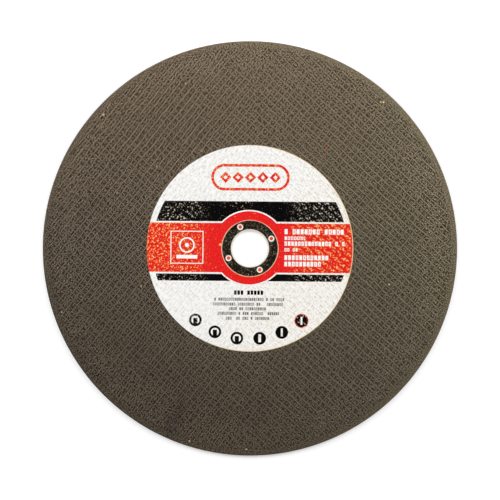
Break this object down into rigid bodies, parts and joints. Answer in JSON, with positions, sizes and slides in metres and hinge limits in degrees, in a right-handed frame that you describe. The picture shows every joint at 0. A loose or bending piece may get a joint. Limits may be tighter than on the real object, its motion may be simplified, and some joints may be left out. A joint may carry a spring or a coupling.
{
  "type": "cut-off wheel",
  "caption": "Thin round resin-bonded cut-off wheel with a woven glass net pressed into each face, a printed paper label and a flanged steel ring lining its centre bore.",
  "frame": {"origin": "on the bore axis at the back face, on which the wheel lies", "axes": "+Z along the bore axis, out of the label; +X to the right and +Y up as the label is read"},
  "size_m": [0.3, 0.3, 0.0035],
  "materials": {
    "abrasive": "pressed abrasive grain in dark resin, rough and matt",
    "glass_net": "glass yarn soaked in resin",
    "label_paper": "white paper printed with red and black fields, pressed onto the net",
    "ring_steel": "blackened sheet steel, mottled"
  },
  "bodies": {
    "root": {"abrasive_disc": "abrasive", "front_net": "glass_net", "back_net": "glass_net", "label": "label_paper", "centre_ring": "ring_steel"}
  },
  "joints": []
}
